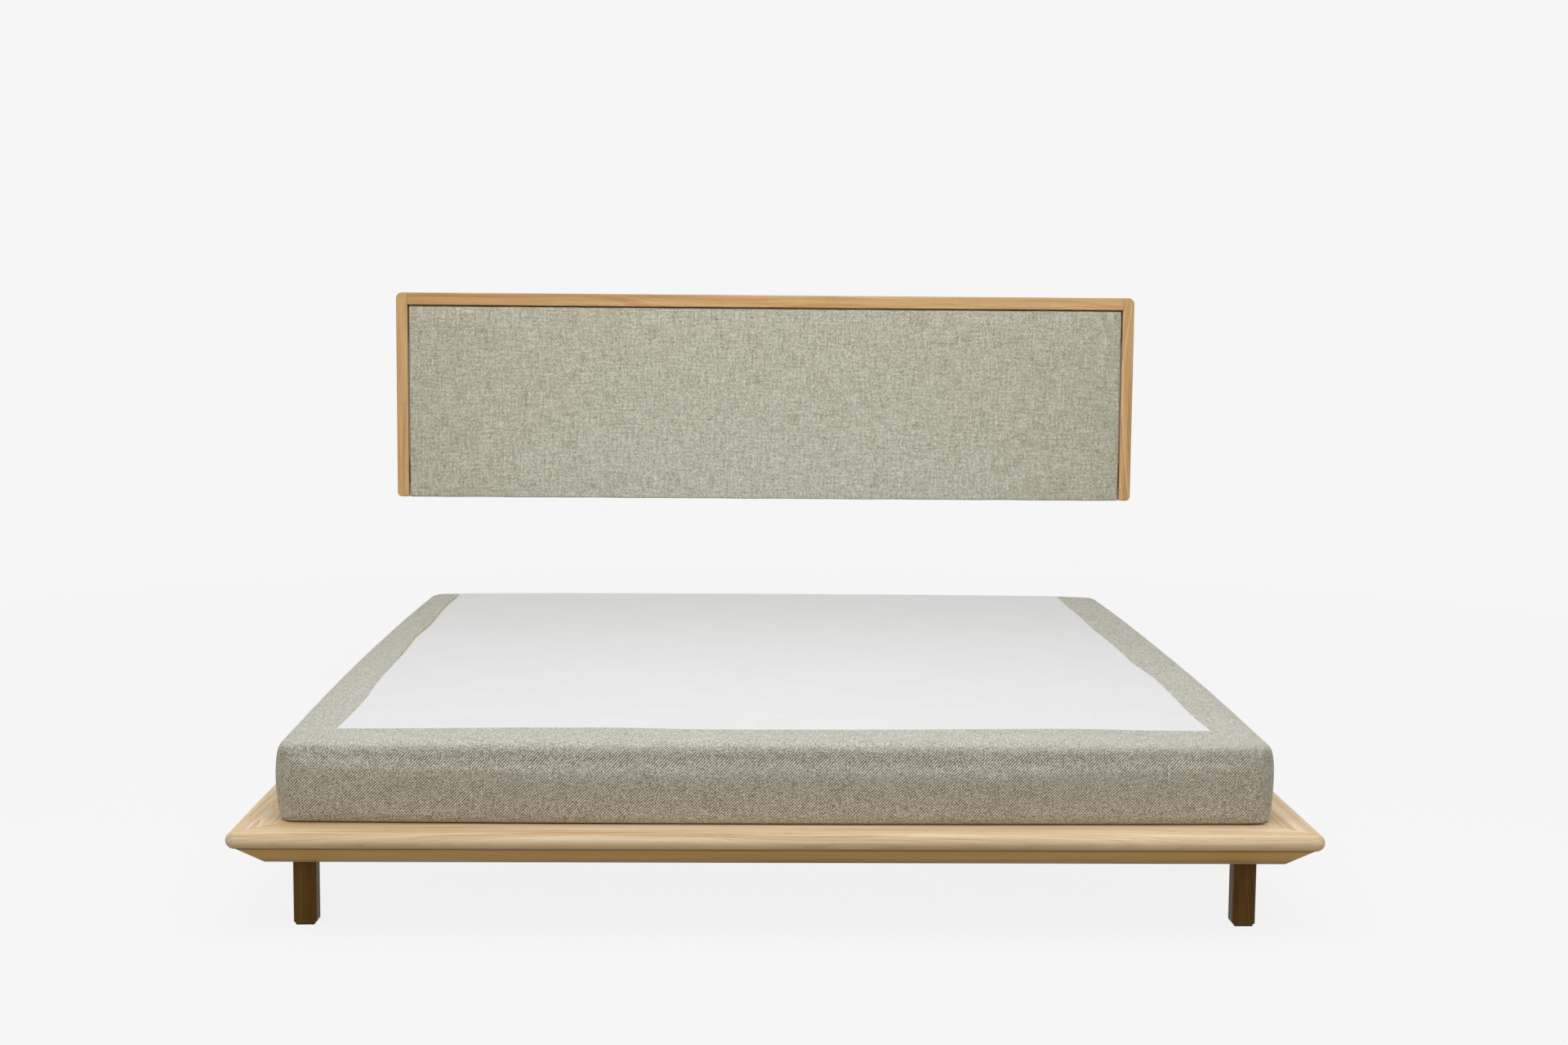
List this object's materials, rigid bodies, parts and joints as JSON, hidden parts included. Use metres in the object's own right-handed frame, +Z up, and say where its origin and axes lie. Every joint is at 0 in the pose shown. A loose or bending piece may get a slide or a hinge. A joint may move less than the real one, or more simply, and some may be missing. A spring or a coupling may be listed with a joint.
{
  "type": "platform bed with upholstered base and headboard",
  "caption": "Low oak platform bed with an upholstered spring base that lifts off the frame and a separate oak-edged upholstered headboard that hangs on a wall cleat.",
  "frame": {"origin": "on the floor, midway across the bed and midway between the foot end of the frame and the wall", "axes": "+X towards the right seen from the foot, +Y from the foot to the wall, +Z up"},
  "size_m": [1.99, 2.17, 1.143],
  "materials": {
    "frame_oak": "matt oiled oak",
    "leg_oak": "matt oiled oak",
    "headboard_oak": "matt oiled oak",
    "pine": "planed bare pine",
    "plywood": "bare plywood",
    "beech": "bare beech",
    "zinc_steel": "bright zinc",
    "glide_felt": "pressed felt",
    "black_plastic": "matt",
    "bumper_rubber": "matt",
    "upholstery_fabric": "coarse grey-beige melange weave",
    "white_cotton": "plain white cotton",
    "dust_cloth": "non-woven",
    "wadding": "soft wadding",
    "foam": "open-cell foam",
    "grey_felt": "needled felt",
    "pocket_cloth": "non-woven pockets"
  },
  "bodies": {
    "frame": {"foot_rail": "frame_oak", "head_rail": "frame_oak", "left_rail": "frame_oak", "right_rail": "frame_oak", "mitre_tongues": "beech", "corner_brackets": "zinc_steel", "bracket_screws": "zinc_steel", "left_ledge": "pine", "right_ledge": "pine", "ledge_screws": "zinc_steel", "centre_beam": "pine", "beam_shoes": "zinc_steel", "slat_01": "pine", "slat_02": "pine", "slat_03": "pine", "slat_04": "pine", "slat_05": "pine", "slat_06": "pine", "slat_07": "pine", "slat_08": "pine", "slat_09": "pine", "slat_10": "pine", "slat_screws": "zinc_steel", "front_left_leg": "leg_oak", "front_right_leg": "leg_oak", "rear_left_leg": "leg_oak", "rear_right_leg": "leg_oak", "leg_inserts": "zinc_steel", "leg_bolts": "zinc_steel", "leg_glides": "glide_felt", "centre_leg": "pine", "wall_cleat": "pine"},
    "levelling_pad": {"centre_foot_pad": "black_plastic"},
    "levelling_stem": {"centre_foot_stem": "zinc_steel"},
    "base": {"base_left_board": "pine", "base_right_board": "pine", "base_foot_board": "pine", "base_head_board": "pine", "base_slats": "pine", "base_corner_blocks": "pine", "side_padding": "wadding", "edge_foam": "foam", "spring_unit": "pocket_cloth", "felt_pad": "grey_felt", "comfort_foam": "foam", "border_cover": "upholstery_fabric", "top_panel": "white_cotton", "dust_cover": "dust_cloth"},
    "headboard": {"left_stile": "headboard_oak", "right_stile": "headboard_oak", "top_rail": "headboard_oak", "headboard_dowels": "beech", "backboard": "plywood", "headboard_foam": "foam", "headboard_cover": "upholstery_fabric", "headboard_cleat": "pine", "bottom_batten": "pine", "panel_screws": "zinc_steel", "wall_bumpers": "bumper_rubber"}
  },
  "joints": [
    {"name": "base_lift", "type": "slide", "parent": "frame", "child": "base", "axis": [0, 0, 1], "range_m": [0, 0.25]},
    {"name": "headboard_lift", "type": "slide", "parent": "frame", "child": "headboard", "axis": [0, 0, 1], "range_m": [0, 0.06]},
    {"name": "foot_travel", "type": "slide", "parent": "frame", "child": "levelling_pad", "axis": [0, 0, 1], "range_m": [-0.012, 0.006]},
    {"name": "stem_turn", "type": "hinge", "parent": "levelling_pad", "child": "levelling_stem", "pos_m": [0, -0.005, 0.009], "axis": [0, 0, 1], "range_deg": [-2880.5, 1440.5]}
  ],
  "couplings": [
    {"joint": "stem_turn", "follows": "foot_travel", "rad_per_m": 4188.8}
  ]
}
